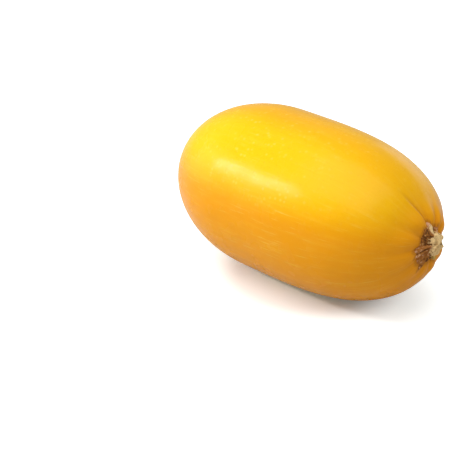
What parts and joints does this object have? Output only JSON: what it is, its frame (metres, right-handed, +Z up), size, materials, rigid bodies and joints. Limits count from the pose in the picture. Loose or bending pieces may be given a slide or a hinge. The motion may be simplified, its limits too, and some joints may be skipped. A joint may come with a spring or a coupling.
{
  "type": "spaghetti squash",
  "caption": "Whole ripe spaghetti squash lying on its side: a smooth yellow oblong fruit, lobed round a dried corky stem stub.",
  "frame": {"origin": "middle of the bounding box's base, on the surface that the fruit lies on", "axes": "+X along the fruit towards its stem, +Z up"},
  "size_m": [0.2548, 0.1332, 0.1324],
  "materials": {
    "squash_rind": "satin waxy rind",
    "dried_stem": "dry, corky and fibrous"
  },
  "bodies": {
    "root": {"squash_body": "squash_rind", "stem_stub": "dried_stem"}
  },
  "joints": []
}
